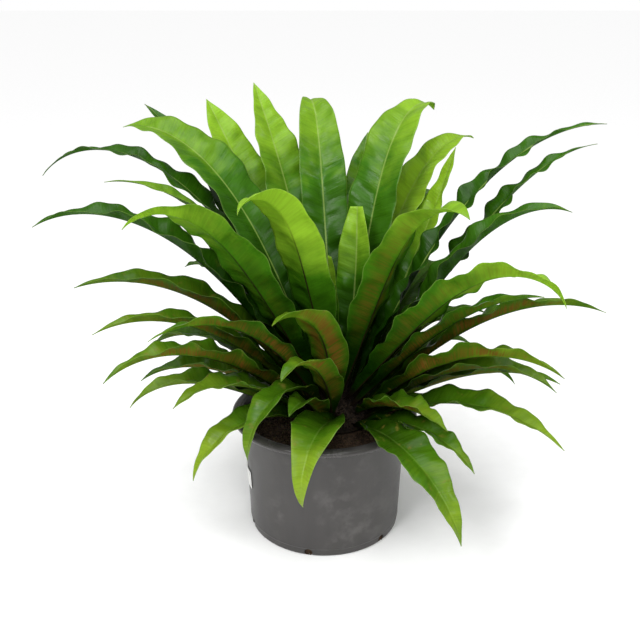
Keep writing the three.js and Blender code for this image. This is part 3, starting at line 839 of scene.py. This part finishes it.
# Irregular lumps that become one piece: each is a cube with its corners pushed about.
class Lumps:
    SIDES = [(0, 1, 3, 2), (4, 6, 7, 5), (0, 4, 5, 1), (2, 3, 7, 6), (0, 2, 6, 4), (1, 5, 7, 3)]

    def __init__(self, draw):
        self.draw = draw
        self.points = []
        self.faces = []

    def add(self, x, y, z, size):
        self.faces += [tuple(len(self.points) + i for i in side) for side in self.SIDES]
        for dx in (-1, 1):
            for dy in (-1, 1):
                for dz in (-1, 1):
                    self.points.append(
                        (
                            x + dx * size * self.draw.uniform(0.35, 0.75),
                            y + dy * size * self.draw.uniform(0.35, 0.75),
                            z + dz * size * self.draw.uniform(0.25, 0.6),
                        )
                    )


def fill_radius():
    return wall_radius(FILL_HEIGHT) - WALL - GAP - 0.8


def mix_bed():
    inner = FOOT_RADIUS - WALL - GAP
    top = fill_radius()
    profile = [(0.5, FLOOR + GAP), (inner - 3.4, FLOOR + GAP), (inner - 0.8, FLOOR + 6)]
    profile += [(top, FILL_HEIGHT - 4), (top - 1.5, FILL_HEIGHT - 2)]
    profile += [(r, FILL_HEIGHT) for r in np.linspace(top - 4, 1, BED_RINGS)]
    return turned("potting_mix_bed", profile, BED_SIDES, unevenness)


# Loose crumbs on the mix, and mix that shows dark in the notches of the foot.
def mix_crumbs():
    draw = random.Random(FILL_SEED)
    lumps = Lumps(draw)
    while len(lumps.points) < LUMP_CORNERS * CRUMBS:
        r = math.sqrt(draw.uniform(0, 1)) * (fill_radius() - 5)
        x, y = around(draw.uniform(0, 2 * math.pi), r)
        if math.hypot(x - CROWN_X, y - CROWN_Y) < CROWN_RADIUS + 2:
            continue
        size = draw.choice(CRUMB_SIZES)
        lumps.add(x, y, FILL_HEIGHT + unevenness(x, y, FILL_HEIGHT) + 0.2 * size, size)
    for azimuth in notch_azimuths():
        for _ in range(NOTCH_CRUMBS):
            aside = math.radians(draw.uniform(-2.6, 2.6))
            x, y = around(azimuth + aside, FOOT_RADIUS - WALL - 0.9 + draw.uniform(-0.6, 0.4))
            lumps.add(x, y, draw.uniform(1.1, 9.4), NOTCH_CRUMB_SIZE)
    return make_piece("potting_mix_crumbs", lumps.points, lumps.faces)


# Height of the crown's dome at a distance from its axis.
def dome(r):
    radii = [8, CROWN_RADIUS - 32, CROWN_RADIUS - 20, CROWN_RADIUS - 9, CROWN_RADIUS - 2, CROWN_RADIUS]
    heights = [CROWN_TOP, 204, 196, 184, 174, FILL_HEIGHT + 3]
    return float(np.interp(r, radii, heights))


# The points and faces of the crown's rough dome.
def crown_body():
    radii = [CROWN_RADIUS - 3] + [CROWN_RADIUS - 0.5 - 0.9 * i for i in range(CROWN_RINGS)]
    points = []
    for k, r in enumerate(radii):
        z = FILL_HEIGHT + GAP if k == 0 else dome(r)
        for i in range(CROWN_SIDES):
            x, y = around(2 * math.pi * i / CROWN_SIDES, r)
            rough = 0 if k == 0 else 1.2 * noise.fractal(Vector((x, y, z)) * 0.25, 1.0, 2.0, 3)
            points.append((CROWN_X + x, CROWN_Y + y, z + rough))
    return points, ring_faces(len(radii), CROWN_SIDES)


# One narrow pointed scale of four rings, at the share of the way out from the crown's axis.
def crown_scale(share, azimuth, draw):
    r = 4 + (CROWN_RADIUS - 6) * math.sqrt(share)
    x, y = around(azimuth, r)
    foot = Vector((CROWN_X + x, CROWN_Y + y, dome(r) - 0.5))
    out = Vector((math.cos(azimuth), math.sin(azimuth), 0))
    level = Vector((-math.sin(azimuth), math.cos(azimuth), 0))
    climb = math.radians(80 - 60 * r / CROWN_RADIUS + draw.uniform(-16, 16))
    ahead = out * math.cos(climb) + Vector((0, 0, 1)) * math.sin(climb)
    ahead = (ahead + level * draw.uniform(-0.3, 0.3)).normalized()
    back = ahead.cross(level).normalized()
    long = draw.uniform(7, 13)
    broad = draw.uniform(1.1, 1.9)
    points = []
    for t, width in ((0, 0.8), (0.35, 1.0), (0.7, 0.55), (1, 0.05)):
        centre = foot + ahead * long * t + back * (1.4 * t * t)
        for dx, dy in ((-1, 0), (0, -0.25), (1, 0), (0, 0.25)):
            points.append(tuple(centre + level * (dx * broad * width) + back * (dy * broad * width)))
    return points, ring_faces(4, 4)


# The crown: a rough dome covered with narrow pointed scales.
def crown():
    draw = random.Random(CROWN_SEED)
    points, faces = crown_body()
    for i in range(CROWN_SCALES):
        azimuth = i * math.radians(SCALE_TURN) + draw.uniform(-0.2, 0.2)
        more, sides = crown_scale(i / CROWN_SCALES, azimuth, draw)
        faces += [tuple(len(points) + j for j in side) for side in sides]
        points += more
    piece = make_piece("crown_scales", points, faces)
    sharpen(piece, SHARP_SCALE_EDGE)
    return piece


def dress(piece, material, slot, *nodes):
    piece.data.materials.clear()
    piece.data.materials.append(material)
    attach(piece, "root")
    if nodes:
        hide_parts(*nodes)


def camera(scene):
    data = bpy.data.cameras.new("camera")
    data.sensor_width = SENSOR_WIDTH
    data.lens = FOCAL_LENGTH
    made = bpy.data.objects.new("camera", data)
    made.location = CAMERA_PLACE
    made.rotation_euler = (math.radians(90 - CAMERA_BELOW_LEVEL), 0, 0)
    scene.collection.objects.link(made)
    scene.camera = made


# The world lights the part softly, and its own colour behind the plant is white.
def sky(scene):
    world = bpy.data.worlds.new("studio")
    scene.world = world
    world.use_nodes = True
    tree = world.node_tree
    tree.nodes.clear()
    ray = tree.nodes.new("ShaderNodeLightPath")
    mix = tree.nodes.new("ShaderNodeMixShader")
    output = tree.nodes.new("ShaderNodeOutputWorld")
    tree.links.new(ray.outputs["Is Camera Ray"], mix.inputs[0])
    for strength, socket in ((WORLD_STRENGTH, mix.inputs[1]), (1.0, mix.inputs[2])):
        white = tree.nodes.new("ShaderNodeBackground")
        white.inputs[0].default_value = (1, 1, 1, 1)
        white.inputs[1].default_value = strength
        tree.links.new(white.outputs[0], socket)
    tree.links.new(mix.outputs[0], output.inputs["Surface"])


def lamp(scene, name, kind, place, aim, power, **settings):
    data = bpy.data.lights.new(name, kind)
    data.energy = power
    for key, value in settings.items():
        setattr(data, key, value)
    light = bpy.data.objects.new(name, data)
    light.location = place
    light.rotation_euler = (Vector(aim) - Vector(place)).to_track_quat("-Z", "Y").to_euler()
    scene.collection.objects.link(light)


def studio():
    scene = bpy.context.scene
    scene.view_settings.view_transform = "Standard"
    camera(scene)
    sky(scene)
    spread = math.radians(OVERHEAD_ANGLE)
    lamp(scene, "overhead", "SUN", OVERHEAD_PLACE, (0, 0, 0), OVERHEAD_STRENGTH, angle=spread)
    for name, place, aim, power, width, height in AREA_LIGHTS:
        lamp(scene, name, "AREA", place, aim, power, shape="RECTANGLE", size=width, size_y=height)
    far = FLOOR_REACH / MM
    corners = [(-far, -far, 0), (far, -far, 0), (far, far, 0), (-far, far, 0)]
    floor = make_piece("studio_floor", corners, [(0, 1, 2, 3)])
    floor.data.materials.append(floor_material())


def fronds():
    leaves = {
        "young_frond": leaf_material("leaf_young", YOUNG, 0.1, 1.0, 0.6, 0.0),
        "mature_frond": leaf_material("leaf_mature", MATURE, 0.1, 1.0, 0.4, 0.1),
        "old_frond": leaf_material("leaf_old", OLD, 0.0, 0.9, 0.12, 0.5),
    }
    count = 0
    for (ring, radius, height, slot), rows in zip(RINGS, (HEART, INNER, MIDDLE, OUTER, LOW)):
        for i, (row, azimuth) in enumerate(zip(rows, base_azimuths(rows, radius))):
            node = f"{ring}_{i + 1}"
            look = LOOKS.get(node, PLAIN_LOOK)
            phase = (count * PHASE_STEP) % 1
            blade = frond(node + "_blade", row, radius, height, azimuth, phase, look, count * SEED_STEP)
            dress(blade, leaves[slot], slot, node)
            count += 1


fronds()
dress(pot(), plastic_material(), "pot_plastic", "nursery_pot")
earth = soil_material("potting_mix_earth", (0.022, 0.013, 0.008), (0.075, 0.045, 0.025), 180)
dress(mix_bed(), earth, "potting_mix", "potting_mix")
dress(mix_crumbs(), earth, "potting_mix")
bark = soil_material("crown_bark", (0.009, 0.006, 0.004), (0.03, 0.018, 0.009), 260)
dress(crown(), bark, "crown", "crown")
paper = label_material()
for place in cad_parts["pot_label"].material_slots:
    place.material = paper

studio()
